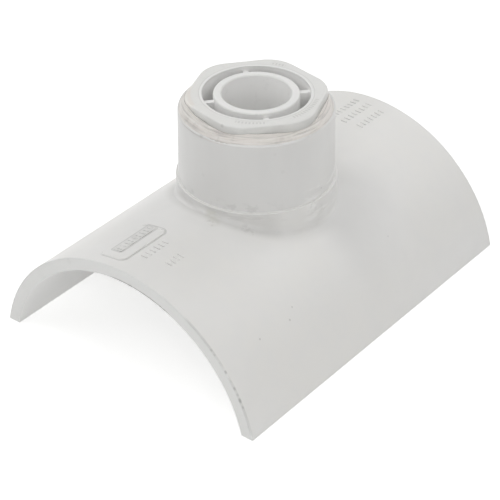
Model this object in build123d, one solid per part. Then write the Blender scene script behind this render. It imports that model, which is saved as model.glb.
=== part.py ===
from build123d import *
import os

# Tapping saddle for a plastic main pipe, in millimetres.
# A curved plate is glued over the main. A socket hub is moulded on the plate in one piece with it.
# A hexagonal reducer bushing is cemented into the hub, and a bead of cement fills the joint between them.
# Z is up along the branch, Y runs along the main pipe and X across it.
# The origin lies on the plane of the two feet, under the centre of the branch.

# Main pipe and the curved plate on it
pipe_diameter = 114.3
seat_clearance = 0.15
plate_wall = 5.35
plate_length = 160.8
pipe_axis_drop = 13.35
plate_edge_round = 0.45

# Neck and socket hub
neck_rise = 3.25
neck_root_round = 1.8
ledge_width = 0.95
ledge_edge_round = 0.2
hub_length = 28.9
hub_wall = 5.9
hub_draft = 0.4
hub_rim_round = 0.6
hub_socket_depth = 27.8
hub_socket_taper = 0.12
hub_socket_clearance = 0.03
hub_mouth_bevel = 0.4
hub_stop_width = 3.71

# Reducer bushing, whose spigot has the size of the branch pipe
branch_pipe_diameter = 48.26
flange_overhang = 1.47
flange_corner_round = 13.0
flange_corner_angle = 50.0
flange_thickness = 3.9
flange_top_round = 1.0
flange_bottom_round = 0.3
spigot_wall = 3.35
spigot_lead = 1.2
spigot_end_gap = 1.3
pocket_draft = 0.3
pocket_mouth_round = 0.3
web_thickness = 3.5
rib_count = 4
rib_thickness = 2.2
rib_drop = 2.0

# Small socket down the middle of the bushing
small_pipe_diameter = 26.67
small_socket_clearance = 0.025
small_socket_depth = 18.3
small_stop_width = 2.91
tube_wall = 3.21
tube_mouth_round = 0.8

# Cement squeezed out between the hub's rim and the flange
cement_gap = 2.1
cement_foot_spread = 1.3
cement_top_overhang = 0.6
cement_bulge = 0.35

# Radii that follow from the sizes above
seat_radius = pipe_diameter / 2 + seat_clearance
plate_radius = seat_radius + plate_wall
spigot_radius = branch_pipe_diameter / 2
hub_socket_floor_radius = spigot_radius + hub_socket_clearance
hub_socket_mouth_radius = hub_socket_floor_radius + hub_socket_taper
hub_bore_radius = hub_socket_floor_radius - hub_stop_width
hub_rim_radius = hub_socket_mouth_radius + hub_wall
hub_foot_radius = hub_rim_radius + hub_draft
neck_radius = hub_foot_radius + ledge_width
flange_flat_radius = spigot_radius + flange_overhang
pocket_radius = spigot_radius - spigot_wall
small_socket_radius = small_pipe_diameter / 2 + small_socket_clearance
small_bore_radius = small_socket_radius - small_stop_width
tube_radius = small_socket_radius + tube_wall

# Heights above the feet
pipe_axis_z = -pipe_axis_drop
ledge_z = pipe_axis_z + plate_radius + neck_rise
hub_rim_z = ledge_z + hub_length
hub_socket_floor_z = hub_rim_z - hub_socket_depth
flange_base_z = hub_rim_z + cement_gap
flange_top_z = flange_base_z + flange_thickness
spigot_end_z = hub_socket_floor_z + spigot_end_gap
web_top_z = spigot_end_z + web_thickness
small_socket_floor_z = flange_top_z - small_socket_depth

# How near an edge lies to the radius and height it is looked up by
edge_match = 0.01


def turned(points):
    """A solid of revolution about the branch axis, from radius and height pairs."""
    return revolve(Plane.XZ * make_face(Polyline(*points, close=True)), Axis.Z)


def ring_edges(shape, radius, height):
    """The circular edges of one radius at one height, centred on the branch axis."""
    circles = shape.edges().filter_by(GeomType.CIRCLE)
    level = [edge for edge in circles if abs(edge.arc_center.Z - height) < edge_match]
    return [edge for edge in level if abs(edge.radius - radius) < edge_match]


def curved_plate():
    """The plate: a slice of tube that stands on two flat feet, with all its edges eased."""
    section = Pos(0, pipe_axis_z) * (Circle(plate_radius) - Circle(seat_radius))
    section -= Rectangle(3 * plate_radius, 3 * plate_radius, align=(Align.CENTER, Align.MAX))
    section = fillet(section.vertices().group_by(Axis.Y)[0], plate_edge_round)
    plate = extrude(Plane.XZ * section, plate_length / 2, both=True)
    ends = plate.edges().group_by(Axis.Y)
    return fillet(ends[0] + ends[-1], plate_edge_round)


def solid_branch():
    """Neck and hub before they are bored, ending inside the wall of the plate."""
    branch = turned([
        (0, pipe_axis_z),
        (neck_radius, pipe_axis_z),
        (neck_radius, ledge_z),
        (hub_foot_radius, ledge_z),
        (hub_rim_radius, hub_rim_z),
        (0, hub_rim_z),
    ])
    branch = fillet(ring_edges(branch, neck_radius, ledge_z), ledge_edge_round)
    branch = fillet(ring_edges(branch, hub_rim_radius, hub_rim_z), hub_rim_round)
    middle_of_wall = seat_radius + plate_wall / 2
    core = Pos(0, 0, pipe_axis_z) * Rot(90, 0, 0) * Cylinder(middle_of_wall, 3 * neck_radius)
    return branch - core


def hub_hollow():
    """The room inside the hub: bevelled mouth, tapered socket, stop and the bore into the main."""
    return turned([
        (0, pipe_axis_z),
        (hub_bore_radius, pipe_axis_z),
        (hub_bore_radius, hub_socket_floor_z),
        (hub_socket_floor_radius, hub_socket_floor_z),
        (hub_socket_mouth_radius, hub_rim_z - hub_mouth_bevel),
        (hub_socket_mouth_radius + hub_mouth_bevel, hub_rim_z),
        (hub_socket_mouth_radius + hub_mouth_bevel, flange_base_z),
        (0, flange_base_z),
    ])


def saddle_body():
    """Plate, neck and hub, which are one moulding."""
    plate = curved_plate()
    branch = solid_branch()
    body = plate + branch
    body = fillet(new_edges(plate, branch, combined=body), neck_root_round)
    return body - hub_hollow()


def bushing_core():
    """The turned parts of the bushing: spigot, web and the tube of the small socket."""
    return turned([
        (small_bore_radius, spigot_end_z),
        (spigot_radius - spigot_lead, spigot_end_z),
        (spigot_radius, spigot_end_z + spigot_lead),
        (spigot_radius, flange_top_z),
        (pocket_radius, flange_top_z),
        (pocket_radius - pocket_draft, web_top_z),
        (tube_radius + pocket_draft, web_top_z),
        (tube_radius, flange_top_z),
        (small_socket_radius, flange_top_z),
        (small_socket_radius, small_socket_floor_z),
        (small_bore_radius, small_socket_floor_z),
    ])


def hexagon_flange():
    """The hexagonal collar that a wrench or a hand holds, with wide round corners."""
    outline = RegularPolygon(flange_flat_radius, 6, major_radius=False, rotation=flange_corner_angle)
    outline = fillet(outline.vertices(), flange_corner_round)
    outline -= Circle(spigot_radius - spigot_wall / 2)
    flange = extrude(Pos(0, 0, flange_base_z) * outline, flange_thickness)
    rims = flange.faces().sort_by(Axis.Z)
    flange = fillet(rims[-1].outer_wire().edges(), flange_top_round)
    return fillet(flange.faces().sort_by(Axis.Z)[0].outer_wire().edges(), flange_bottom_round)


def pocket_ribs():
    """The ribs that tie the tube to the wall of the spigot across the ring-shaped pocket."""
    inner = tube_radius - tube_wall / 2
    outer = pocket_radius + spigot_wall / 2
    bottom = web_top_z - web_thickness / 2
    top = flange_top_z - rib_drop
    rib = Box(outer - inner, rib_thickness, top - bottom, align=(Align.CENTER, Align.CENTER, Align.MIN))
    places = PolarLocations((inner + outer) / 2, rib_count, flange_corner_angle)
    return [Pos(0, 0, bottom) * place * rib for place in places]


def reducer_bushing():
    """The whole bushing, one moulding, with its mouths rounded."""
    bushing = bushing_core() + hexagon_flange() + pocket_ribs()
    mouths = ring_edges(bushing, small_socket_radius, flange_top_z)
    mouths += ring_edges(bushing, tube_radius, flange_top_z)
    bushing = fillet(mouths, tube_mouth_round)
    return fillet(ring_edges(bushing, pocket_radius, flange_top_z), pocket_mouth_round)


def cement_bead():
    """The ring of cured cement that lies on the hub's rim and is pressed under the flange."""
    inner = hub_socket_mouth_radius + hub_mouth_bevel
    foot = hub_rim_radius - cement_foot_spread
    top = flange_flat_radius + cement_top_overhang
    middle = ((foot + top) / 2 + cement_bulge, hub_rim_z + cement_gap / 2 + cement_bulge)
    outline = Polyline((top, flange_base_z), (inner, flange_base_z), (inner, hub_rim_z), (foot, hub_rim_z))
    outline += ThreePointArc((foot, hub_rim_z), middle, (top, flange_base_z))
    return revolve(Plane.XZ * make_face(outline), Axis.Z)


os.makedirs("parts", exist_ok=True)
export_step(saddle_body(), "parts/saddle_body.step")
export_step(reducer_bushing(), "parts/reducer_bushing.step")
export_step(cement_bead(), "parts/cement_bead.step")
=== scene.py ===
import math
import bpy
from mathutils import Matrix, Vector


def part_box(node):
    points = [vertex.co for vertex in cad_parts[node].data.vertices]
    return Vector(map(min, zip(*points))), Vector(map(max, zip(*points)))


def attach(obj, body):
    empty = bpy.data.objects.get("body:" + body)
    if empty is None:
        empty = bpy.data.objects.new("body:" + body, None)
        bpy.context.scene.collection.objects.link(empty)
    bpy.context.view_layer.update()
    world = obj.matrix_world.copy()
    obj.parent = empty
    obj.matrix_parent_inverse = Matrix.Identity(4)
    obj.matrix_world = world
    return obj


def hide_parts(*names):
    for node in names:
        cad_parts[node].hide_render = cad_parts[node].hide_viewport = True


bl_info = {
    "name": "Tapping Saddle",
    "version": (1, 0, 0),
    "blender": (4, 5, 0),
    "location": "View3D > Sidebar > Saddle",
    "description": "Moulded plastic, cured cement, wear and a soft studio for a glue-on tapping saddle",
    "category": "Object",
}

import bmesh
import bpy
from bpy.props import FloatProperty, FloatVectorProperty, IntProperty, PointerProperty
from mathutils import Matrix, Vector, noise

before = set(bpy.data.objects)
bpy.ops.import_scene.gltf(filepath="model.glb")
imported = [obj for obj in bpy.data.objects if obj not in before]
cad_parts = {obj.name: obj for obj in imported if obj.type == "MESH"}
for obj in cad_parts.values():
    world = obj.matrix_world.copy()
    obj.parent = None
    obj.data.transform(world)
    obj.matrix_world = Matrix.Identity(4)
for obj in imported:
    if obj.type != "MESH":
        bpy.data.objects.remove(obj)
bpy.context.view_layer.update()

MM = 0.001
SADDLE_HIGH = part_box("saddle_body")[1]
BUSHING_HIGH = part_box("reducer_bushing")[1]
BEAD_LOW, BEAD_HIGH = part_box("cement_bead")

# The plate is a slice of tube whose axis runs along Y, below the feet.
PIPE_AXIS_DROP = 13.35 * MM
PLATE_OUTER_RADIUS = 62.65 * MM
PLATE_INNER_RADIUS = 57.3 * MM
PLATE_END = SADDLE_HIGH.y

# The collar of the bushing is a hexagon with round corners, one of them at this angle about Z.
COLLAR_CORNER_ANGLE = math.radians(50)
COLLAR_FLAT_RADIUS = 25.6 * MM
COLLAR_CORNER_ROUND = 13.0 * MM
COLLAR_EDGE_ROUND = 1.0 * MM
COLLAR_BASE = BEAD_HIGH.z
COLLAR_TOP = BUSHING_HIGH.z

# The hub, and the moulder's ledge round its foot
HUB_RIM = BEAD_LOW.z
HUB_RIM_RADIUS = 30.18 * MM
HUB_LEDGE = 52.55 * MM
NECK_RADIUS = 31.53 * MM
SPIGOT_HOLE_RADIUS = 24.68 * MM

# The bushing's small socket, the tube round it and the ring-shaped pocket round the tube
SOCKET_RADIUS = 13.36 * MM
TUBE_RADIUS = 16.57 * MM
POCKET_RADIUS = 20.78 * MM

# Camera of the photograph: its place, and how it is turned and tilted
CAMERA_PLACE = Vector((0.373794, -0.475965, 0.425931))
CAMERA_TURN = math.radians(38.401)
CAMERA_TILT = math.radians(34.177)
CAMERA_ROLL = math.radians(-0.2425)

# Blank raised marks on the plate, in millimetres: middle across the arch, middle along Y, width and length
BLANK_FRAME = (-9.2, -62.8, 13.2, 25.8)
BLANK_PANEL = (-10.1, -60.8, 4.8, 20.4)

# The round corners of the blank marks and how deep their feet are sunk into the plate, in millimetres
FRAME_CORNER = 3.0
PANEL_CORNER = 0.6
BAR_CORNER = 0.45
SMALLEST_CORNER = 0.05
MARKS_FOOT = -0.1

# The share of the frame's width over which its left side fades out, and its height there in millimetres
FRAME_FADE = 0.2
FADED_LIFT = -0.06

# Rows of short blank bars: place across the arch, first and last place along Y, and number of bars
BAR_ROWS = (
    (-10.1, -69.4, -52.2, 9),
    (1.3, -68.4, -56.6, 6),
    (10.6, -65.6, -58.8, 4),
    (-5.0, 57.5, 74.0, 8),
    (1.2, 56.5, 74.0, 8),
    (8.2, 58.0, 73.0, 7),
)

# Stains on the moulding: place in millimetres, radius in millimetres and strength
GLUE_STAINS = (
    ((3.5, -31.5, 49.5), 4.0, 1.0),
    ((6.5, -34.5, 48.5), 3.5, 0.7),
)
CRUMBS = (
    ((6, -36, 49), 3.0, 0.8),
    ((17, -28.5, 47), 2.6, 1.0),
    ((20.5, -27, 46), 2.6, 1.0),
    ((31.2, -5.0, 50.0), 3.4, 0.8),
    ((32.5, 0.5, 47.5), 3.4, 0.5),
    ((29.5, 10.5, 50.5), 4.0, 0.5),
)
END_SCUFFS = (
    ((42.4, -80.4, 32.6), 1.0, 0.7),
    ((43.8, -80.4, 31.0), 0.9, 0.6),
    ((46.9, -80.4, 28.2), 0.8, 0.3),
    ((49.1, -80.4, 25.9), 1.2, 0.7),
    ((51.4, -80.4, 22.7), 1.0, 0.5),
    ((53.2, -80.4, 20.4), 1.5, 0.8),
    ((54.6, -80.4, 18.2), 1.3, 0.7),
    ((55.7, -80.4, 16.1), 1.7, 1.0),
    ((57.0, -80.4, 13.6), 1.3, 0.9),
    ((59.0, -80.4, 5.8), 1.0, 0.4),
    ((-0.2, -80.4, 44.4), 1.1, 0.5),
    ((4.7, -80.4, 44.1), 1.6, 1.0),
    ((7.5, -80.4, 43.6), 1.2, 0.7),
    ((10.4, -80.4, 43.2), 1.1, 0.6),
    ((14.2, -80.4, 42.5), 1.4, 0.8),
    ((18.9, -80.4, 41.0), 1.3, 0.8),
    ((20.7, -80.4, 40.6), 1.0, 0.9),
    ((-25.7, -80.4, 42.2), 1.8, 0.3),
    ((-41.6, -80.4, 30.5), 3.5, 0.12),
)
SPECKS = (
    ((47.7, -58.9, 27.3), 0.5, 1.0),
    ((48.4, -41.9, 26.4), 0.6, 0.8),
    ((46.2, -37.7, 28.9), 0.5, 0.8),
    ((46.8, 23.9, 28.3), 0.4, 0.7),
    ((30.6, 1.0, 55.8), 0.5, 0.8),
    ((-1.8, -30.3, 64.6), 1.1, 0.12),
    ((23.6, -19.1, 77.5), 1.0, 0.12),
    ((25.5, -16.6, 69.5), 1.2, 0.12),
    ((-2.6, -30.1, 81.2), 1.2, 0.5),
)
COLLAR_SPOTS = (
    ((-19.6, 17.0, 87.4), 0.8, 0.8),
    ((4.7, -26.9, 86.6), 1.1, 0.6),
    ((10.0, -12.8, 87.4), 0.9, 0.25),
)

# The share of a stain's radius within which it has its full strength
STAIN_CORE = 0.35

# Runs round the main pipe's axis of the painted shade along the near end's inner edge and of the dirt along
# its outer edge: first and last direction and how far it fades out, in degrees
INNER_EDGE_RUN = (-2, 21, 4)
OUTER_EDGE_RUN = (32, 72, 6)

# The same round the branch, for dirt and painted shade on the neck, the painted shadow of the hub, wear, a
# painted highlight on the rim, cement and the collar's blank bars
HEAVY_DIRT_AND_SHADE_RUN = (-145, -46, 26)
LIGHT_DIRT_AND_SHADE_RUN = (-70, -6, 20)
HUB_SHADOW_RUN = (12, 44, 24)
SCRAPES_RUN = (-8, 38, 12)
RIM_HIGHLIGHT_RUN = (-75, -25, 15)
SMEAR_RUN = (-158, -122, 8)
COLLAR_BAR_RUNS = ((-71, -45, 1), (-17, 26, 1), (100, 114, 1))

# Directions round the branch, in degrees, between which a finish comes in: the painted shade on the hub's
# side, the painted highlight on the ledge and the cement's left side
SIDE_SHADE_FROM = (-185, -140)
SIDE_SHADE_UNTIL = (20, -45)
LEDGE_HIGHLIGHT_FROM = (-90, -40)
CEMENT_LEFT_FROM = (-60, -92)

# Where the painted shade along the frame's foot comes in across the arch, and how far the painted shadow of
# the hub reaches from the neck
FRAME_SHADE_LOW = -14.5 * MM
FRAME_SHADE_HIGH = -12 * MM
HUB_SHADOW_REACH = 30 * MM

# The lowest height of the scrapes, the ring of bars on the collar and where its smear begins
SCRAPES_LOW = 46 * MM
COLLAR_BARS_INNER_RADIUS = 22.9 * MM
COLLAR_BARS_OUTER_RADIUS = 24.1 * MM
COLLAR_BARS_PER_TURN = 110.0
SMEAR_INNER_RADIUS = 24.4 * MM

# Depths of the relief that shades flakes and scrapes, the collar's lip and bars, and the cement
FLAKE_DEPTH = 0.09 * MM
COLLAR_RELIEF_DEPTH = 0.15 * MM
CEMENT_LAYER_DEPTH = 0.35 * MM
CEMENT_GRAIN_DEPTH = 0.03 * MM

# Direction round the branch in degrees, and the share of the set climb that the cement reached there
CLIMBS = (
    (0, 0.45), (30, 0.7), (90, 0.4), (140, 0.6), (180, 0.8), (200, 1.3), (216, 2.5), (237, 2.4), (250, 0.9),
    (270, 0.4), (285, 0.5), (300, 1.0), (311, 0.6), (323, 0.35), (337, 0.1), (360, 0.45),
)

# The same for how far it ran over the hub's rim: 1 is right over the rounded edge
OVERRUNS = ((0, 0.0), (200, 0.0), (218, 0.8), (245, 1.0), (280, 1.0), (300, 0.0), (360, 0.0))

# How far such cement hangs below the rim and stands out from it, and the gap to the collar, in millimetres
OVERRUN_DROP = 0.8
OVERRUN_REACH = 0.15
CEMENT_GAP = 0.1

# How far the bead's top, slope and foot wander, and how far inside the hub's edge its underside starts,
# in millimetres
TOP_WANDER = 0.15
SLOPE_WANDER = 0.18
FOOT_WANDER = 0.3
UNDERSIDE_INSET = 2

# The bead's layers: rings of points for each, the share of the fall that lies in steps, and how far
# the steps wander, in layers
STEPS_PER_LAYER = 8
STEPPED_SHARE = 0.6
STEP_WANDER = 0.1

# The panel's share of the marks' height, the share of the height at which a mark's side turns over into
# its top, and over how many millimetres
PANEL_HEIGHT_SHARE = 0.5
SHOULDER_SHARE = 0.85
SHOULDER_WIDTH = 0.1

# Sides of the square lamps and the floor in metres, and the width of the camera's sensor in millimetres
LAMP_SIZE = 0.9
FLOOR_SIZE = 8
SENSOR_WIDTH = 36

# How strongly the two materials bend light, which sets the strength of their gloss, and how rough cement is
PLASTIC_IOR = 1.53
CEMENT_IOR = 1.5
CEMENT_ROUGHNESS = 0.42


def collar_radius(angle):
    """How far the collar's rounded hexagon reaches from the branch axis in one direction."""
    sixth = math.pi / 3
    off_corner = abs((angle - COLLAR_CORNER_ANGLE + sixth / 2) % sixth - sixth / 2)
    core = (COLLAR_FLAT_RADIUS - COLLAR_CORNER_ROUND) / math.cos(sixth / 2)
    arc_side = COLLAR_CORNER_ROUND * math.sin(sixth / 2)
    arc_end = math.atan2(arc_side, core + COLLAR_CORNER_ROUND * math.cos(sixth / 2))
    if off_corner > arc_end:
        return COLLAR_FLAT_RADIUS / math.cos(sixth / 2 - off_corner)
    across = core * math.sin(off_corner)
    return core * math.cos(off_corner) + math.sqrt(COLLAR_CORNER_ROUND**2 - across**2)


def ease(share):
    """Smooth start and stop between 0 and 1."""
    share = min(1.0, max(0.0, share))
    return share * share * (3 - 2 * share)


def wander(angle, layer, ripples):
    """A smooth, repeatable wobble from -1 to 1 round the branch."""
    return noise.noise(Vector((math.cos(angle) * ripples, math.sin(angle) * ripples, layer)))


def on_plate(across, along, lift):
    """The point on the plate's outside at a distance across the arch and along Y, lifted off it."""
    angle = across / PLATE_OUTER_RADIUS
    reach = PLATE_OUTER_RADIUS + lift
    return Vector((reach * math.sin(angle), along, reach * math.cos(angle) - PIPE_AXIS_DROP))


def rounded_outline(width, length, corner, steps=6):
    """Points round a rectangle with round corners, in a plane about its middle."""
    points = []
    for quarter, (side, end) in enumerate(((1, 1), (-1, 1), (-1, -1), (1, -1))):
        for step in range(steps + 1):
            angle = math.pi / 2 * (quarter + step / steps)
            x = side * (width / 2 - corner) + corner * math.cos(angle)
            y = end * (length / 2 - corner) + corner * math.sin(angle)
            points.append(Vector((x, y)))
    return points


def lofted(name, rings, wrap=False, second=()):
    """A mesh object skinned over closed rings of points. With wrap the last ring meets the first.
    Otherwise both ends are capped. The bands named in second take the second material."""
    mesh = bmesh.new()
    rows = [[mesh.verts.new(point) for point in ring] for ring in rings]
    pairs = list(zip(rows, rows[1:]))
    if wrap:
        pairs.append((rows[-1], rows[0]))
    for band, (lower, upper) in enumerate(pairs):
        for i in range(len(lower)):
            j = (i + 1) % len(lower)
            face = mesh.faces.new((lower[i], lower[j], upper[j], upper[i]))
            face.material_index = int(band in second)
    if not wrap:
        mesh.faces.new(list(reversed(rows[0])))
        mesh.faces.new(rows[-1])
    bmesh.ops.recalc_face_normals(mesh, faces=mesh.faces)
    for face in mesh.faces:
        face.smooth = True
    data = bpy.data.meshes.new(name)
    mesh.to_mesh(data)
    mesh.free()
    made = bpy.data.objects.new(name, data)
    bpy.context.scene.collection.objects.link(made)
    return made


def settle(piece, slot, *finishes):
    """Gives a new piece its finishes and lets it ride with the saddle."""
    for finish in finishes:
        piece.data.materials.append(finish)
    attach(piece, "root")


class Finish:
    """One procedural finish being put together. Its patterns are laid in metres in the saddle's own frame,
    so that all the pieces share them."""

    def __init__(self, name):
        self.material = bpy.data.materials.new(name)
        self.material.use_nodes = True
        self.nodes = self.material.node_tree.nodes
        self.links = self.material.node_tree.links
        self.shader = self.nodes["Principled BSDF"]
        self.place = self.nodes.new("ShaderNodeTexCoord").outputs["Object"]
        split = self.nodes.new("ShaderNodeSeparateXYZ")
        self.links.new(self.place, split.inputs[0])
        self.x, self.y, self.z = split.outputs

    def feed(self, socket, value):
        """Links a socket, or sets a plain number or colour on it."""
        if isinstance(value, bpy.types.NodeSocket):
            self.links.new(value, socket)
        else:
            socket.default_value = value

    def math(self, operation, first, second=0.0):
        node = self.nodes.new("ShaderNodeMath")
        node.operation = operation
        self.feed(node.inputs[0], first)
        self.feed(node.inputs[1], second)
        return node.outputs[0]

    def length(self, first, second):
        """The length of two distances at right angles."""
        squares = [self.math("MULTIPLY", value, value) for value in (first, second)]
        return self.math("SQRT", self.math("ADD", *squares))

    def rise(self, value, low, high):
        """0 below low, 1 above high and smooth between them. With high below low it falls."""
        node = self.nodes.new("ShaderNodeMapRange")
        node.interpolation_type = "SMOOTHSTEP"
        self.feed(node.inputs["Value"], value)
        node.inputs["From Min"].default_value = low
        node.inputs["From Max"].default_value = high
        return node.outputs["Result"]

    def between(self, value, low, high, soft):
        """1 between low and high, fading out over soft on both sides."""
        return self.all_of(self.rise(value, low - soft, low), self.rise(value, high + soft, high))

    def run(self, angle, directions):
        """1 within a run of directions in degrees, fading out on both sides."""
        low, high, soft = (math.radians(value) for value in directions)
        return self.between(angle, low, high, soft)

    def turn(self, angle, directions):
        """0 before the first of two directions in degrees, 1 past the second and smooth between them."""
        return self.rise(angle, *(math.radians(value) for value in directions))

    def all_of(self, *masks):
        result = masks[0]
        for mask in masks[1:]:
            result = self.math("MULTIPLY", result, mask)
        return result

    def most_of(self, masks):
        result = masks[0]
        for mask in masks[1:]:
            result = self.math("MAXIMUM", result, mask)
        return result

    def joined(self, first, second, third):
        """One place from three distances."""
        node = self.nodes.new("ShaderNodeCombineXYZ")
        for socket, value in zip(node.inputs, (first, second, third)):
            self.feed(socket, value)
        return node.outputs[0]

    def unrolled_branch(self):
        """Angle round the branch, distance from its axis, and both with the height as a flat place."""
        around = self.math("ARCTAN2", self.y, self.x)
        from_axis = self.length(self.x, self.y)
        return around, from_axis, self.joined(self.math("MULTIPLY", around, NECK_RADIUS), from_axis, self.z)

    def unrolled_plate(self):
        """Angle and distance from the main pipe's axis, and both with the place along it as a flat place."""
        height = self.math("ADD", self.z, PIPE_AXIS_DROP)
        angle = self.math("ARCTAN2", self.x, height)
        radius = self.length(self.x, height)
        return angle, radius, self.joined(self.math("MULTIPLY", angle, PLATE_OUTER_RADIUS), self.y, radius)

    def cloud(self, scale, detail=3.0, stretch=(1, 1, 1), place=None):
        """Noise from 0 to 1 with about scale lumps to the metre, squeezed along an axis by stretch."""
        squeeze = self.nodes.new("ShaderNodeVectorMath")
        squeeze.operation = "MULTIPLY"
        self.links.new(place or self.place, squeeze.inputs[0])
        squeeze.inputs[1].default_value = stretch
        node = self.nodes.new("ShaderNodeTexNoise")
        self.links.new(squeeze.outputs[0], node.inputs["Vector"])
        node.inputs["Scale"].default_value = scale
        node.inputs["Detail"].default_value = detail
        return node.outputs["Fac"]

    def blot(self, centre, radius, strength):
        """A soft round stain about a place in millimetres."""
        node = self.nodes.new("ShaderNodeVectorMath")
        node.operation = "DISTANCE"
        self.links.new(self.place, node.inputs[0])
        node.inputs[1].default_value = [value * MM for value in centre]
        mask = self.rise(node.outputs["Value"], radius * MM, radius * MM * STAIN_CORE)
        return self.math("MULTIPLY", mask, strength)

    def tint(self, under, over, share):
        """The colour under, covered by the colour over by a share."""
        node = self.nodes.new("ShaderNodeMix")
        node.data_type = "RGBA"
        self.feed(node.inputs["Factor"], share)
        self.feed(node.inputs[6], under)
        self.feed(node.inputs[7], over)
        return node.outputs[2]

    def relief(self, height, depth, under=None):
        """A bump of the given depth in metres, on top of another."""
        node = self.nodes.new("ShaderNodeBump")
        node.inputs["Distance"].default_value = depth
        self.links.new(height, node.inputs["Height"])
        if under is not None:
            self.links.new(under, node.inputs["Normal"])
        return node.outputs["Normal"]


def moulded_plastic(finish, look, colour, inside):
    """The common ground of both mouldings, as a colour and a relief.
    The off-white is uneven and painted lighter inside, as painted light where little light reaches, with
    faint grain, slow waves and uneven gloss."""
    slow = finish.rise(finish.cloud(22), 0.3, 0.7)
    warm = [value * tone for value, tone in zip(colour, (0.985, 0.98, 0.965))] + [1]
    ground = finish.tint([*colour, 1], warm, slow)
    fine = finish.rise(finish.cloud(140, 5), 0.35, 0.75)
    dull = [value * 0.965 for value in colour] + [1]
    ground = finish.tint(ground, dull, finish.math("MULTIPLY", fine, 0.5))
    ground = finish.tint(ground, [*look.clean_and_lit_colour, 1], inside)
    gloss = finish.math("MULTIPLY_ADD", finish.cloud(60, 4), 0.16)
    gloss.node.inputs[2].default_value = look.roughness - 0.08
    finish.feed(finish.shader.inputs["Roughness"], gloss)
    finish.shader.inputs["IOR"].default_value = PLASTIC_IOR
    normal = finish.relief(finish.cloud(700, 3), look.grain_depth * MM)
    return ground, finish.relief(finish.cloud(90, 2), look.sink_depth * MM, normal)


def end_grime_and_shade(finish):
    """Painted shade along the near end's inner edge, which faces down, and dark dirt rubbed into the edges
    of the plate's two ends, with heavier scuffs on the near one.
    """
    angle, radius, flat = finish.unrolled_plate()
    near_face = finish.rise(finish.y, -PLATE_END + 0.9 * MM, -PLATE_END + 0.3 * MM)
    far_face = finish.rise(finish.y, PLATE_END - 0.9 * MM, PLATE_END - 0.3 * MM)
    inner_edge = finish.rise(radius, PLATE_INNER_RADIUS + 1.2 * MM, PLATE_INNER_RADIUS + 0.6 * MM)
    outer_edge = finish.rise(radius, PLATE_OUTER_RADIUS - 0.9 * MM, PLATE_OUTER_RADIUS - 0.4 * MM)
    inner_run = finish.run(angle, INNER_EDGE_RUN)
    outer_run = finish.run(angle, OUTER_EDGE_RUN)
    streaky = finish.rise(finish.cloud(300, 5, (0.4, 1, 1), flat), 0.25, 0.6)
    lines = finish.most_of([
        # Painted shade along the near end's inner edge
        finish.math("MULTIPLY", finish.all_of(near_face, inner_edge, inner_run), 0.75),
        finish.math("MULTIPLY", finish.all_of(near_face, outer_edge, outer_run), 0.4),
        finish.math("MULTIPLY", finish.all_of(near_face, outer_edge), 0.1),
        finish.math("MULTIPLY", finish.all_of(far_face, outer_edge), 0.2),
    ])
    edges = finish.most_of([inner_edge, outer_edge, finish.math("MULTIPLY", near_face, 0.2)])
    scuffs = finish.all_of(finish.most_of([finish.blot(*scuff) for scuff in END_SCUFFS]), edges)
    return finish.most_of([finish.all_of(lines, streaky), finish.all_of(scuffs, near_face)])


def neck_dirt_and_shade(finish):
    """Grey dirt in strokes round the front of the neck, over an even painted shade that darkens the whole
    neck below the ledge, spread thinly over its root and onto the plate, with splashes of dirt on the hub
    above the ledge.
    """
    around, from_axis, flat = finish.unrolled_branch()
    strokes = finish.rise(finish.cloud(300, 5, (0.35, 1, 1.6), flat), 0.42, 0.64)
    # Painted shade: an even darkening of the neck, with little variation
    shade_film = finish.rise(finish.cloud(90, 4, (0.6, 1, 1), flat), 0.2, 0.6)
    shade_film = finish.math("ADD", finish.math("MULTIPLY", shade_film, 0.2), 0.68)
    foot = finish.rise(from_axis, NECK_RADIUS + 5.5 * MM, NECK_RADIUS - 0.5 * MM)
    heavy = finish.run(around, HEAVY_DIRT_AND_SHADE_RUN)
    light = finish.run(around, LIGHT_DIRT_AND_SHADE_RUN)
    spread = finish.most_of([heavy, finish.math("MULTIPLY", light, 0.5)])
    under_ledge = finish.rise(finish.z, HUB_LEDGE + 0.2 * MM, HUB_LEDGE - 0.4 * MM)
    splashes = finish.rise(finish.cloud(260, 4), 0.52, 0.66)
    band = finish.between(finish.z, HUB_LEDGE + 0.6 * MM, HUB_LEDGE + 3 * MM, 2 * MM)
    above = finish.math("MULTIPLY", finish.all_of(band, splashes, heavy), 0.5)
    height = finish.most_of([under_ledge, above])
    return finish.all_of(finish.most_of([strokes, shade_film]), foot, spread, height)


def painted_hub_shadow(finish):
    """A faint grey painted shadow of the hub on the plate, in the corner beside it."""
    around, from_axis, _ = finish.unrolled_branch()
    side = finish.run(around, HUB_SHADOW_RUN)
    reach = finish.rise(from_axis, NECK_RADIUS + HUB_SHADOW_REACH, NECK_RADIUS)
    off_neck = finish.rise(from_axis, NECK_RADIUS, NECK_RADIUS + 0.7 * MM)
    uneven = finish.math("ADD", finish.math("MULTIPLY", finish.cloud(60), 0.4), 0.68)
    return finish.all_of(side, reach, off_neck, uneven)


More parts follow.
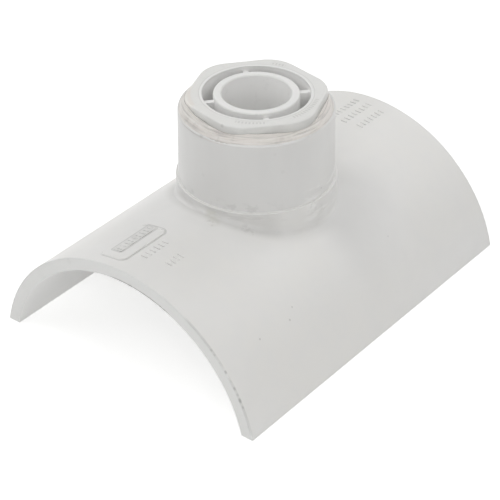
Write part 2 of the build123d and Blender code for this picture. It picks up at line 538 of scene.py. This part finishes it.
def mark_shade_and_streaks(finish):
    """Painted shade along the foot of the blank frame, left out on its left side where light falls, and
    along the foot of the blank panel, with darker streaks all over the panel.
    """
    angle, _, _ = finish.unrolled_plate()
    across = finish.math("MULTIPLY", angle, PLATE_OUTER_RADIUS)

    def beyond(mark, corner):
        """How far a place lies outside a mark with round corners. Inside it this is less than nothing."""
        sides = []
        for place, middle, size in ((across, mark[0], mark[2]), (finish.y, mark[1], mark[3])):
            off_middle = finish.math("ABSOLUTE", finish.math("SUBTRACT", place, middle * MM))
            sides.append(finish.math("SUBTRACT", off_middle, (size / 2 - corner) * MM))
        off_corner = finish.length(*(finish.math("MAXIMUM", side, 0.0) for side in sides))
        within = finish.math("MINIMUM", finish.most_of(sides), 0.0)
        return finish.math("SUBTRACT", finish.math("ADD", off_corner, within), corner * MM)

    # Painted shade in the creases at the feet of the frame and the panel
    frame_foot = finish.between(beyond(BLANK_FRAME, FRAME_CORNER), 0.0, 0.3 * MM, 0.3 * MM)
    kept = finish.rise(across, FRAME_SHADE_LOW, FRAME_SHADE_HIGH)
    from_panel = beyond(BLANK_PANEL, PANEL_CORNER)
    panel_foot = finish.between(from_panel, 0.0, 0.4 * MM, 0.3 * MM)
    on_panel = finish.rise(from_panel, 0.0, -0.3 * MM)
    streaks = finish.rise(finish.cloud(330, 4), 0.4, 0.6)
    covered = finish.math("ADD", finish.math("MULTIPLY", streaks, 0.3), 0.2)
    return finish.most_of([
        finish.math("MULTIPLY", finish.all_of(frame_foot, kept), 0.8),
        finish.math("MULTIPLY", panel_foot, 0.8),
        finish.all_of(on_panel, covered),
    ])


def glue_smears(finish):
    """Yellowish smears of glue beside the neck."""
    broken = finish.rise(finish.cloud(240, 4), 0.4, 0.58)
    return finish.all_of(finish.most_of([finish.blot(*stain) for stain in GLUE_STAINS]), broken)


def crumbs(finish):
    """Crumbs and torn flakes of cement stuck round the neck."""
    grains = finish.rise(finish.cloud(520, 4), 0.48, 0.58)
    return finish.all_of(finish.most_of([finish.blot(*spot) for spot in CRUMBS]), grains)


def side_scrapes(finish):
    """Rough scrapes that run round one side of the hub's foot, as dark lines and as raised pale ones."""
    around, from_axis, flat = finish.unrolled_branch()
    run = finish.run(around, SCRAPES_RUN)
    band = finish.between(finish.z, SCRAPES_LOW, HUB_LEDGE + 4 * MM, 2.5 * MM)
    near = finish.rise(from_axis, NECK_RADIUS + 3.5 * MM, NECK_RADIUS + 1.5 * MM)
    pattern = finish.cloud(340, 5, (0.32, 1, 1.2), flat)
    zone = finish.all_of(run, band, near)
    dark = finish.all_of(zone, finish.rise(pattern, 0.5, 0.4))
    return dark, finish.all_of(zone, finish.rise(pattern, 0.52, 0.62))


def saddle_finish(look):
    """Off-white moulded plastic with the wear and dirt of a saddle that has been touched by hands and glued,
    with painted light inside the arch, painted shade on the hub and beside it, and painted highlights on the
    ledge and the rim.
    """
    finish = Finish("saddle plastic")
    _, radius, _ = finish.unrolled_plate()
    # Painted light: the arch's inner face is painted in the pale colour, lighter than the outside
    inside = finish.rise(radius, PLATE_INNER_RADIUS + 0.4 * MM, PLATE_INNER_RADIUS + 0.1 * MM)
    ground, normal = moulded_plastic(finish, look, look.saddle_colour, inside)
    around, from_axis, flat = finish.unrolled_branch()
    within_hub = finish.rise(from_axis, NECK_RADIUS + 0.5 * MM, NECK_RADIUS)
    on_hub = finish.all_of(within_hub, finish.rise(finish.z, HUB_LEDGE, HUB_LEDGE + 0.6 * MM))
    # The hub's wall is darker all round, and painted shade makes it darkest on its front-left side, where
    # less light falls; faint upright streaks break it up
    painted_side_shade = finish.all_of(finish.turn(around, SIDE_SHADE_FROM), finish.turn(around, SIDE_SHADE_UNTIL))
    upright = finish.rise(finish.cloud(70, 3, (1, 1, 0.2), flat), 0.35, 0.65)
    hub_shade = finish.math("MULTIPLY", painted_side_shade, 0.55)
    hub_shade = finish.math("ADD", hub_shade, finish.math("MULTIPLY", upright, 0.12))
    # dull is the darker colour of the hub's painted shade and of the painted shadow beside the hub
    dull = [value * 0.83 for value in look.saddle_colour] + [1]
    ground = finish.tint(ground, dull, finish.all_of(on_hub, finish.math("ADD", hub_shade, 0.3)))
    cut_face = finish.rise(finish.math("ABSOLUTE", finish.y), PLATE_END - 0.4 * MM, PLATE_END - 0.1 * MM)
    ground = finish.tint(ground, [*look.cut_colour, 1], finish.math("MULTIPLY", cut_face, 0.8))
    # Painted highlight along the top of the ledge, left out on its front-left side
    ledge = finish.all_of(
        finish.between(finish.z, HUB_LEDGE - 0.2 * MM, HUB_LEDGE + 0.15 * MM, 0.1 * MM),
        finish.turn(around, LEDGE_HIGHLIGHT_FROM),
        within_hub,
    )
    # Painted highlight along the hub's rounded rim at the front
    rim = finish.all_of(
        finish.rise(finish.z, HUB_RIM - 0.9 * MM, HUB_RIM - 0.4 * MM),
        finish.run(around, RIM_HIGHLIGHT_RUN),
    )
    dark_scrapes, pale_scrapes = side_scrapes(finish)
    flakes = crumbs(finish)
    specks = finish.most_of([finish.blot(*speck) for speck in SPECKS])
    outside = finish.rise(radius, PLATE_OUTER_RADIUS - 1.2 * MM, PLATE_OUTER_RADIUS - 0.6 * MM)
    grime_and_shade, clean_and_lit, glue = [*look.grime_and_shade_colour, 1], [*look.clean_and_lit_colour, 1], [*look.glue_colour, 1]
    layers = (
        # Painted shadow of the hub on the plate beside it, in the darker colour
        (dull, painted_hub_shadow(finish), 1.0),
        # Dirt and painted shade round the neck
        (grime_and_shade, neck_dirt_and_shade(finish), 0.3),
        (glue, glue_smears(finish), 0.3),
        (grime_and_shade, dark_scrapes, 0.04),
        (clean_and_lit, pale_scrapes, 0.42),
        (grime_and_shade, flakes, 0.13),
        # Painted highlights on the ledge and the hub's rim, in the pale colour
        (clean_and_lit, ledge, 0.3),
        (clean_and_lit, rim, 0.4),
        (grime_and_shade, specks, 0.35),
        # Painted shade at the marks' feet, and darker streaks on the panel
        (grime_and_shade, mark_shade_and_streaks(finish), 0.35),
    )
    for colour, mask, share in layers:
        ground = finish.tint(ground, colour, finish.all_of(outside, mask, share))
    # Dirt and painted shade on the edges of the plate's ends
    ground = finish.tint(ground, grime_and_shade, finish.math("MULTIPLY", end_grime_and_shade(finish), 0.6))
    finish.feed(finish.shader.inputs["Base Color"], ground)
    rough = finish.all_of(outside, finish.most_of([pale_scrapes, flakes]))
    finish.feed(finish.shader.inputs["Normal"], finish.relief(rough, FLAKE_DEPTH, normal))
    return finish.material


def darkened_edge_finish(look, colour, share):
    """A colour darkened in patches by a share, for the sides of raised marks, and as painted contact shadow
    on the cement's top edge under the collar.
    """
    finish = Finish("darkened edge")
    ground, normal = moulded_plastic(finish, look, colour, 0.0)
    darkened_patches = finish.rise(finish.cloud(220, 3), 0.2, 0.6)
    ground = finish.tint(ground, [*look.grime_and_shade_colour, 1], finish.math("MULTIPLY", darkened_patches, share))
    finish.feed(finish.shader.inputs["Base Color"], ground)
    finish.feed(finish.shader.inputs["Normal"], normal)
    return finish.material


def collar_bars(finish, around, from_axis):
    """Short blank bars round the top of the collar, as a mask."""
    ring = finish.between(from_axis, COLLAR_BARS_INNER_RADIUS, COLLAR_BARS_OUTER_RADIUS, 0.2 * MM)
    top = finish.rise(finish.z, COLLAR_TOP - 0.3 * MM, COLLAR_TOP - 0.1 * MM)
    beat = finish.math("SINE", finish.math("MULTIPLY", around, COLLAR_BARS_PER_TURN))
    bars = finish.rise(beat, -0.2, 0.3)
    runs = finish.most_of([finish.run(around, run) for run in COLLAR_BAR_RUNS])
    return finish.all_of(ring, top, bars, runs)


def bushing_finish(look):
    """Slightly greener plastic, with blank bars on the collar and cement smeared on one of its corners,
    painted light inside the pocket, painted shade on the collar's side and painted highlights on its lip and
    the tube's end.
    """
    finish = Finish("bushing plastic")
    around, from_axis, flat = finish.unrolled_branch()
    # Painted light: the pocket and the tube's inside below the top are painted in the pale colour
    below_top = finish.rise(finish.z, COLLAR_TOP - 0.3 * MM, COLLAR_TOP - 1.2 * MM)
    within_pocket = finish.rise(from_axis, POCKET_RADIUS + 0.5 * MM, POCKET_RADIUS + 0.1 * MM)
    inside = finish.all_of(within_pocket, below_top)
    ground, normal = moulded_plastic(finish, look, look.bushing_colour, inside)
    grime_and_shade = [*look.grime_and_shade_colour, 1]
    # Painted shade on the collar's side below its rounded top edge, darker towards its base above the
    # cement, broken by smudges
    collar_side = finish.all_of(
        finish.rise(from_axis, COLLAR_FLAT_RADIUS - 2 * MM, COLLAR_FLAT_RADIUS - 1 * MM),
        finish.rise(finish.z, COLLAR_TOP - 0.1 * MM, COLLAR_TOP - 0.7 * MM),
    )
    smears = finish.rise(finish.cloud(120, 4, (1, 1, 2.5), flat), 0.35, 0.7)
    low = finish.rise(finish.z, COLLAR_TOP - 1.2 * MM, COLLAR_BASE + 0.4 * MM)
    painted_side_shade = finish.math("ADD", finish.math("MULTIPLY", smears, 0.1), 0.13)
    painted_side_shade = finish.math("ADD", painted_side_shade, finish.math("MULTIPLY", low, 0.12))
    ground = finish.tint(ground, grime_and_shade, finish.all_of(collar_side, painted_side_shade))
    smeared = finish.all_of(
        finish.run(around, SMEAR_RUN),
        finish.rise(from_axis, SMEAR_INNER_RADIUS, COLLAR_FLAT_RADIUS),
        finish.math("ADD", finish.math("MULTIPLY", finish.rise(finish.cloud(200, 4), 0.35, 0.6), 0.4), 0.6),
    )
    ground = finish.tint(ground, [*look.cement_colour, 1], smeared)
    dust = finish.rise(finish.cloud(320, 5), 0.58, 0.7)
    ground = finish.tint(ground, grime_and_shade, finish.math("MULTIPLY", dust, 0.05))
    spots = finish.most_of([finish.blot(*spot) for spot in COLLAR_SPOTS])
    ground = finish.tint(ground, grime_and_shade, finish.math("MULTIPLY", spots, 0.35))
    bars = collar_bars(finish, around, from_axis)
    ground = finish.tint(ground, grime_and_shade, finish.math("MULTIPLY", bars, 0.16))
    # Painted highlight on the crests of the pocket's lip and the tube's end, at the top
    at_top = finish.rise(finish.z, COLLAR_TOP - 1.1 * MM, COLLAR_TOP - 0.3 * MM)
    lip = finish.between(from_axis, POCKET_RADIUS + 0.1 * MM, POCKET_RADIUS + 0.9 * MM, 0.2 * MM)
    tube_end = finish.between(from_axis, SOCKET_RADIUS + 0.7 * MM, TUBE_RADIUS - 0.4 * MM, 0.3 * MM)
    painted_crest_highlight = finish.all_of(at_top, finish.most_of([lip, tube_end]))
    ground = finish.tint(ground, [*look.clean_and_lit_colour, 1], finish.math("MULTIPLY", painted_crest_highlight, 0.6))
    # Painted shade in a thin ring just outside the lip, as in a groove
    groove = finish.between(from_axis, POCKET_RADIUS + 1.2 * MM, POCKET_RADIUS + 1.4 * MM, 0.15 * MM)
    groove = finish.all_of(at_top, groove)
    ground = finish.tint(ground, grime_and_shade, finish.math("MULTIPLY", groove, 0.1))
    finish.feed(finish.shader.inputs["Base Color"], ground)
    normal = finish.relief(lip, COLLAR_RELIEF_DEPTH, normal)
    finish.feed(finish.shader.inputs["Normal"], finish.relief(bars, COLLAR_RELIEF_DEPTH, normal))
    return finish.material


def cement_finish(look):
    """Cured cement in thin pinkish and beige layers, with darker lines between them."""
    finish = Finish("cured cement")
    around, from_axis, _ = finish.unrolled_branch()
    along = finish.math("MULTIPLY", around, HUB_RIM_RADIUS)
    up_slope = finish.math("SUBTRACT", finish.z, from_axis)
    streaks = finish.cloud(900, 3, (0.07, 1, 1), finish.joined(along, up_slope, 0.0))
    patches = finish.rise(finish.cloud(60, 2), 0.45, 0.62)
    left = finish.turn(around, CEMENT_LEFT_FROM)
    pink = finish.all_of(patches, finish.math("ADD", finish.math("MULTIPLY", left, 0.55), 0.35))
    ground = finish.tint([*look.cement_colour, 1], [*look.cement_pink, 1], pink)
    dark = finish.rise(streaks, 0.5, 0.36)
    ground = finish.tint(ground, [*look.cement_line_colour, 1], finish.math("MULTIPLY", dark, 0.8))
    pale = finish.rise(streaks, 0.54, 0.68)
    ground = finish.tint(ground, [*look.clean_and_lit_colour, 1], finish.math("MULTIPLY", pale, 0.45))
    rubbed = finish.math("MULTIPLY", finish.rise(finish.cloud(260, 4), 0.55, 0.7), 0.12)
    rubbed = finish.math("ADD", rubbed, finish.math("MULTIPLY", left, 0.12))
    ground = finish.tint(ground, [*look.grime_and_shade_colour, 1], rubbed)
    finish.feed(finish.shader.inputs["Base Color"], ground)
    finish.shader.inputs["Roughness"].default_value = CEMENT_ROUGHNESS
    finish.shader.inputs["IOR"].default_value = CEMENT_IOR
    normal = finish.relief(streaks, CEMENT_LAYER_DEPTH)
    grain = finish.cloud(900, 3)
    finish.feed(finish.shader.inputs["Normal"], finish.relief(grain, CEMENT_GRAIN_DEPTH, normal))
    return finish.material


def share_at(table, angle):
    """The share that a table of directions in degrees gives for one direction, smooth between its lines."""
    turn = math.degrees(angle) % 360
    for (low, start), (high, end) in zip(table, table[1:]):
        if turn <= high:
            return start + (end - start) * ease((turn - low) / (high - low))
    return table[-1][1]


def collar_side_radius(angle, lift):
    """How far the collar's side reaches in one direction, at a height above the collar's base."""
    over = min(COLLAR_EDGE_ROUND, max(0.0, lift - (COLLAR_TOP - COLLAR_BASE - COLLAR_EDGE_ROUND)))
    return collar_radius(angle) - COLLAR_EDGE_ROUND + math.sqrt(COLLAR_EDGE_ROUND**2 - over**2)


def cement_rings(bead):
    """Closed loops round the branch axis: down the layered slope and back inside the joint."""
    angles = [math.tau * i / bead.segments for i in range(bead.segments)]
    steps = bead.layers * STEPS_PER_LAYER
    rings = []
    for step in range(steps + 1):
        ring = []
        for angle in angles:
            share = step / steps
            free = math.sin(math.pi * share)
            phase = bead.layers * (share + STEP_WANDER * free * wander(angle, 3.0, 2.5))
            stepped = (math.floor(phase) + ease(2 * (phase % 1.0) - 0.5)) / bead.layers
            fall = (1 - STEPPED_SHARE) * share + STEPPED_SHARE * min(1.0, stepped)
            lift = (bead.climb * share_at(CLIMBS, angle) + TOP_WANDER * wander(angle, 1.0, 6.0)) * MM
            over = share_at(OVERRUNS, angle)
            inner = collar_side_radius(angle, lift) + CEMENT_GAP * MM
            margin = (bead.foot_margin + FOOT_WANDER * wander(angle, 7.0, 3.0)) * (1 - over)
            outer = HUB_RIM_RADIUS - (margin - OVERRUN_REACH * over) * MM
            radius = inner + (outer - inner) * share
            top = COLLAR_BASE + lift
            height = top + (HUB_RIM - OVERRUN_DROP * over * MM - top) * fall
            height += free * (bead.bulge + SLOPE_WANDER * wander(angle, 11.0 + 3 * share, 6.0)) * MM
            ring.append(Vector((radius * math.cos(angle), radius * math.sin(angle), height)))
        rings.append(ring)
    inside = (
        (HUB_RIM_RADIUS - UNDERSIDE_INSET * MM, HUB_RIM),
        (SPIGOT_HOLE_RADIUS, HUB_RIM),
        (SPIGOT_HOLE_RADIUS, COLLAR_BASE),
    )
    for radius, height in inside:
        rings.append([Vector((radius * math.cos(a), radius * math.sin(a), height)) for a in angles])
    return rings


def placed_outline(mark, corner, inset, lift, fade=0.0):
    """The outline of a blank mark laid on the plate, drawn in by inset and lifted off the surface.
    With a fade it sinks into the plate towards its left side, over that share of its width."""
    across, along, width, length = mark
    ring = []
    inset_corner = max(SMALLEST_CORNER, corner - inset)
    for point in rounded_outline(width - 2 * inset, length - 2 * inset, inset_corner):
        kept = ease((point.x / width + 0.5) / fade) if fade else 1.0
        raised = lift * kept + FADED_LIFT * (1 - kept) if lift > 0 else lift
        ring.append(on_plate((across + point.x) * MM, (along + point.y) * MM, raised * MM))
    return ring


class SaddleLook(bpy.types.PropertyGroup):
    """Colours and surface of the mouldings and the cement."""

    saddle_colour: FloatVectorProperty(
        name="Saddle",
        description="Base colour of the saddle's plastic",
        subtype="COLOR",
        default=(0.87, 0.865, 0.85),
    )
    bushing_colour: FloatVectorProperty(
        name="Bushing",
        description="Base colour of the bushing's plastic",
        subtype="COLOR",
        default=(0.86, 0.86, 0.84),
    )
    cut_colour: FloatVectorProperty(
        name="Ends",
        description="Colour of the plate's two end faces",
        subtype="COLOR",
        default=(0.82, 0.822, 0.807),
    )
    # The pale colour is painted light on the inner faces and painted highlight on the ledge, rim, lip and
    # tube end; it is also the colour of pale scrapes and cement streaks
    clean_and_lit_colour: FloatVectorProperty(
        name="Inside",
        description="Colour of the clean inner faces",
        subtype="COLOR",
        default=(0.96, 0.957, 0.945),
    )
    # This dark colour serves both dirt and scuffs and the painted shade on the neck, hub, collar, plate ends
    # and marks
    grime_and_shade_colour: FloatVectorProperty(
        name="Grime",
        description="Colour of dirt and scuffs",
        subtype="COLOR",
        default=(0.17, 0.165, 0.155),
    )
    glue_colour: FloatVectorProperty(
        name="Glue",
        description="Colour of the glue smears",
        subtype="COLOR",
        default=(0.52, 0.51, 0.42),
    )
    cement_colour: FloatVectorProperty(
        name="Cement",
        description="Colour of the cured cement",
        subtype="COLOR",
        default=(0.835, 0.80, 0.755),
    )
    cement_line_colour: FloatVectorProperty(
        name="Cement lines",
        description="Colour between the layers",
        subtype="COLOR",
        default=(0.62, 0.595, 0.57),
    )
    cement_pink: FloatVectorProperty(
        name="Cement pink",
        description="Colour of the pinkish patches",
        subtype="COLOR",
        default=(0.80, 0.745, 0.715),
    )
    roughness: FloatProperty(
        name="Roughness",
        description="Mean roughness of the plastic",
        default=0.42,
        min=0.1,
        max=0.9,
        subtype="FACTOR",
    )
    grain_depth: FloatProperty(
        name="Grain",
        description="Depth of the fine grain in millimetres",
        default=0.02,
        min=0,
    )
    sink_depth: FloatProperty(
        name="Sinks",
        description="Depth of slow waves in millimetres",
        default=0.05,
        min=0,
    )


class CementBead(bpy.types.PropertyGroup):
    """Shape of the bead of cement between hub and collar."""

    segments: IntProperty(name="Segments", description="Steps round the bead", default=360, min=60, max=720)
    layers: IntProperty(name="Layers", description="Terraces down the slope", default=4, min=1, max=8)
    foot_margin: FloatProperty(
        name="Foot margin",
        description="From the hub's edge to the bead in millimetres",
        default=0.75,
        min=0.3,
    )
    climb: FloatProperty(
        name="Climb",
        description="How far it climbs the collar in millimetres, before each direction's share",
        default=1.3,
        min=0,
    )
    bulge: FloatProperty(
        name="Bulge",
        description="How far the slope swells in millimetres",
        default=0.3,
        min=0,
    )


class BlankMarks(bpy.types.PropertyGroup):
    """Sizes of the blank raised marks on the plate."""

    height: FloatProperty(
        name="Height",
        description="Height of the marks in millimetres",
        default=0.26,
        min=0.05,
    )
    slope: FloatProperty(
        name="Slope",
        description="Width of their sloping sides in millimetres",
        default=0.28,
        min=0.1,
    )
    ridge: FloatProperty(
        name="Ridge",
        description="Width of the frame's ridge in millimetres",
        default=1.0,
        min=0.3,
    )
    bar_width: FloatProperty(
        name="Bar width",
        description="Width of a short bar in millimetres",
        default=0.95,
        min=0.3,
    )
    bar_length: FloatProperty(
        name="Bar length",
        description="Length of a short bar in millimetres",
        default=3.2,
        min=0.5,
    )


class Studio(bpy.types.PropertyGroup):
    """Lamps, floor and lens."""

    sky: FloatProperty(
        name="Sky",
        description="Strength of the even light all round",
        default=0.1,
        min=0,
    )
    top: FloatProperty(
        name="Top lamp",
        description="Lamp overhead",
        default=2.6,
        min=0,
        subtype="POWER",
    )
    left: FloatProperty(
        name="Left lamp",
        description="Lamp high on the left",
        default=3.4,
        min=0,
        subtype="POWER",
    )
    front: FloatProperty(
        name="Front lamp",
        description="Low lamp in front",
        default=5.0,
        min=0,
        subtype="POWER",
    )
    right: FloatProperty(
        name="Right lamp",
        description="Lamp high on the right",
        default=2.0,
        min=0,
        subtype="POWER",
    )
    back_left: FloatProperty(
        name="Back left lamp",
        description="Lamp behind on the left",
        default=3.0,
        min=0,
        subtype="POWER",
    )
    back_right: FloatProperty(
        name="Back right lamp",
        description="Lamp behind on the right",
        default=3.2,
        min=0,
        subtype="POWER",
    )
    floor_white: FloatProperty(
        name="Floor white",
        description="White added to the floor as seen",
        default=0.5,
        min=0,
    )
    lens: FloatProperty(name="Lens", description="Focal length", default=131.145, min=10, unit="CAMERA")


class SADDLE_OT_dress_saddle(bpy.types.Operator):
    """Give the saddle moulding its plastic, dirt and wear, with its painted light, shade and highlights"""

    bl_idname = "saddle.dress_saddle"
    bl_label = "Dress the Saddle"

    def execute(self, context):
        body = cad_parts["saddle_body"]
        body.data.materials.clear()
        body.data.materials.append(saddle_finish(context.scene.saddle_look))
        return {"FINISHED"}


class SADDLE_OT_dress_bushing(bpy.types.Operator):
    """Give the reducer bushing its plastic"""

    bl_idname = "saddle.dress_bushing"
    bl_label = "Dress the Bushing"

    def execute(self, context):
        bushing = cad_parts["reducer_bushing"]
        bushing.data.materials.clear()
        bushing.data.materials.append(bushing_finish(context.scene.saddle_look))
        return {"FINISHED"}


class SADDLE_OT_lay_cement(bpy.types.Operator):
    """Lay the layered bead of cement between the hub's rim and the collar"""

    bl_idname = "saddle.lay_cement"
    bl_label = "Lay the Cement"

    def execute(self, context):
        look = context.scene.saddle_look
        bead = lofted("layered_cement", cement_rings(context.scene.cement_bead), wrap=True, second=(0, 1))
        cement = cement_finish(look)
        # The bead's two top bands take painted contact shadow under the collar's base
        painted_contact_shadow = darkened_edge_finish(look, look.cement_line_colour, 0.5)
        settle(bead, "cured_cement", cement, painted_contact_shadow)
        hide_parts("cement_bead")
        return {"FINISHED"}


class SADDLE_OT_raise_marks(bpy.types.Operator):
    """Raise a blank frame and rows of blank bars on the plate"""

    bl_idname = "saddle.raise_marks"
    bl_label = "Raise the Blank Marks"

    def execute(self, context):
        marks = context.scene.blank_marks
        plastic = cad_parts["saddle_body"].data.materials[0]
        look = context.scene.saddle_look
        edge = darkened_edge_finish(look, look.saddle_colour, 0.4)
        panel_edge = darkened_edge_finish(look, look.saddle_colour, 0.75)
        profile = (
            (0, MARKS_FOOT),
            (marks.slope, marks.height),
            (marks.ridge - marks.slope, marks.height),
            (marks.ridge, MARKS_FOOT),
        )
        ridge = [placed_outline(BLANK_FRAME, FRAME_CORNER, *step, FRAME_FADE) for step in profile]
        frame_edge = darkened_edge_finish(look, look.saddle_colour, 0.2)
        blank_frame = lofted("blank_frame", ridge, wrap=True, second=(0, 2))
        settle(blank_frame, "saddle_plastic", plastic, frame_edge)
        panel_height = marks.height * PANEL_HEIGHT_SHARE
        bars = [("blank_panel", BLANK_PANEL, PANEL_CORNER, panel_height, panel_edge)]
        for row, (across, first, last, count) in enumerate(BAR_ROWS, 1):
            sides = edge if row > 1 else panel_edge
            for i in range(count):
                along = first + (last - first) * i / (count - 1)
                place = (across, along, marks.bar_length, marks.bar_width)
                bars.append((f"row_{row}_bar_{i + 1}", place, BAR_CORNER, marks.height, sides))
        for name, place, corner, height, sides in bars:
            pad = [
                placed_outline(place, corner, 0, MARKS_FOOT),
                placed_outline(place, corner, marks.slope, height * SHOULDER_SHARE),
                placed_outline(place, corner, marks.slope + SHOULDER_WIDTH, height),
            ]
            settle(lofted(name, pad, second=(0,)), "saddle_plastic", plastic, sides)
        return {"FINISHED"}


class SADDLE_OT_set_studio(bpy.types.Operator):
    """Set the pale floor, the soft lamps and the camera"""

    bl_idname = "saddle.set_studio"
    bl_label = "Set the Studio"

    def execute(self, context):
        studio = context.scene.studio
        context.scene.view_settings.view_transform = "Standard"
        pale_floor(studio)
        even_sky(studio)
        soft_lamp("top lamp", (0.0, 0.0, 1.2), studio.top)
        soft_lamp("left lamp", (-0.665, -0.527, 0.849), studio.left)
        soft_lamp("front lamp", (0.691, -0.872, 0.45), studio.front)
        soft_lamp("right lamp", (0.665, 0.527, 0.849), studio.right)
        soft_lamp("back left lamp", (-1.032, 0.119, 0.6), studio.back_left)
        soft_lamp("back right lamp", (0.119, 1.032, 0.6), studio.back_right)
        photo_camera(studio)
        return {"FINISHED"}


def seen_directly(nodes, links):
    """A mask that is 1 for what the camera sees, straight or by way of gloss or glass."""
    path = nodes.new("ShaderNodeLightPath")
    mask = path.outputs["Is Camera Ray"]
    for name in ("Is Glossy Ray", "Is Transmission Ray"):
        more = nodes.new("ShaderNodeMath")
        more.operation = "MAXIMUM"
        links.new(mask, more.inputs[0])
        links.new(path.outputs[name], more.inputs[1])
        mask = more.outputs[0]
    return mask


def pale_floor(studio):
    """A wide floor that looks white and still takes the saddle's shadow."""
    bpy.ops.mesh.primitive_plane_add(size=FLOOR_SIZE)
    floor = bpy.context.object
    floor.name = "floor"
    material = bpy.data.materials.new("pale floor")
    material.use_nodes = True
    nodes, links = material.node_tree.nodes, material.node_tree.links
    shader = nodes["Principled BSDF"]
    shader.inputs["Base Color"].default_value = (0.92, 0.92, 0.915, 1)
    shader.inputs["Roughness"].default_value = 0.9
    shader.inputs["Emission Color"].default_value = (1, 1, 1, 1)
    strength = nodes.new("ShaderNodeMath")
    strength.operation = "MULTIPLY"
    links.new(seen_directly(nodes, links), strength.inputs[0])
    strength.inputs[1].default_value = studio.floor_white
    links.new(strength.outputs[0], shader.inputs["Emission Strength"])
    floor.data.materials.append(material)


def even_sky(studio):
    """Even light all round that shows as plain white."""
    world = bpy.data.worlds.new("even sky")
    bpy.context.scene.world = world
    world.use_nodes = True
    nodes, links = world.node_tree.nodes, world.node_tree.links
    back = nodes["Background"]
    back.inputs["Color"].default_value = (1, 1, 1, 1)
    strength = nodes.new("ShaderNodeMapRange")
    links.new(seen_directly(nodes, links), strength.inputs["Value"])
    strength.inputs["To Min"].default_value = studio.sky
    strength.inputs["To Max"].default_value = 1.0
    links.new(strength.outputs["Result"], back.inputs["Strength"])


def soft_lamp(name, place, power):
    """A square lamp that faces the saddle."""
    light = bpy.data.lights.new(name, "AREA")
    light.size = LAMP_SIZE
    light.energy = power
    lamp = bpy.data.objects.new(name, light)
    lamp.location = place
    lamp.rotation_mode = "QUATERNION"
    lamp.rotation_quaternion = (-Vector(place)).to_track_quat("-Z", "Y")
    bpy.context.scene.collection.objects.link(lamp)


def photo_camera(studio):
    """The camera of the photograph."""
    ahead = Vector((
        -math.sin(CAMERA_TURN) * math.cos(CAMERA_TILT),
        math.cos(CAMERA_TURN) * math.cos(CAMERA_TILT),
        -math.sin(CAMERA_TILT),
    ))
    level = Vector((math.cos(CAMERA_TURN), math.sin(CAMERA_TURN), 0))
    upright = level.cross(ahead)
    side = math.cos(CAMERA_ROLL) * level + math.sin(CAMERA_ROLL) * upright
    above = -math.sin(CAMERA_ROLL) * level + math.cos(CAMERA_ROLL) * upright
    turned = Matrix((side, above, -ahead)).transposed().to_4x4()
    data = bpy.data.cameras.new("photo camera")
    data.lens = studio.lens
    data.sensor_width = SENSOR_WIDTH
    camera = bpy.data.objects.new("photo camera", data)
    camera.matrix_world = Matrix.Translation(CAMERA_PLACE) @ turned
    bpy.context.scene.collection.objects.link(camera)
    bpy.context.scene.camera = camera


class SADDLE_PT_tools(bpy.types.Panel):
    """The steps that dress the saddle, in order"""

    bl_label = "Tapping Saddle"
    bl_space_type = "VIEW_3D"
    bl_region_type = "UI"
    bl_category = "Saddle"

    def draw(self, context):
        for step in STEPS:
            self.layout.operator(step.bl_idname)


STEPS = (
    SADDLE_OT_dress_saddle,
    SADDLE_OT_dress_bushing,
    SADDLE_OT_lay_cement,
    SADDLE_OT_raise_marks,
    SADDLE_OT_set_studio,
)
GROUPS = {"saddle_look": SaddleLook, "cement_bead": CementBead, "blank_marks": BlankMarks, "studio": Studio}
CLASSES = (*GROUPS.values(), *STEPS, SADDLE_PT_tools)


def register():
    for cls in CLASSES:
        bpy.utils.register_class(cls)
    for name, group in GROUPS.items():
        setattr(bpy.types.Scene, name, PointerProperty(type=group))


def unregister():
    for name in GROUPS:
        delattr(bpy.types.Scene, name)
    for cls in reversed(CLASSES):
        bpy.utils.unregister_class(cls)


def main():
    """Dresses the saddle step by step."""
    register()
    bpy.ops.saddle.dress_saddle()
    bpy.ops.saddle.dress_bushing()
    bpy.ops.saddle.lay_cement()
    bpy.ops.saddle.raise_marks()
    bpy.ops.saddle.set_studio()


if __name__ == "__main__":
    main()
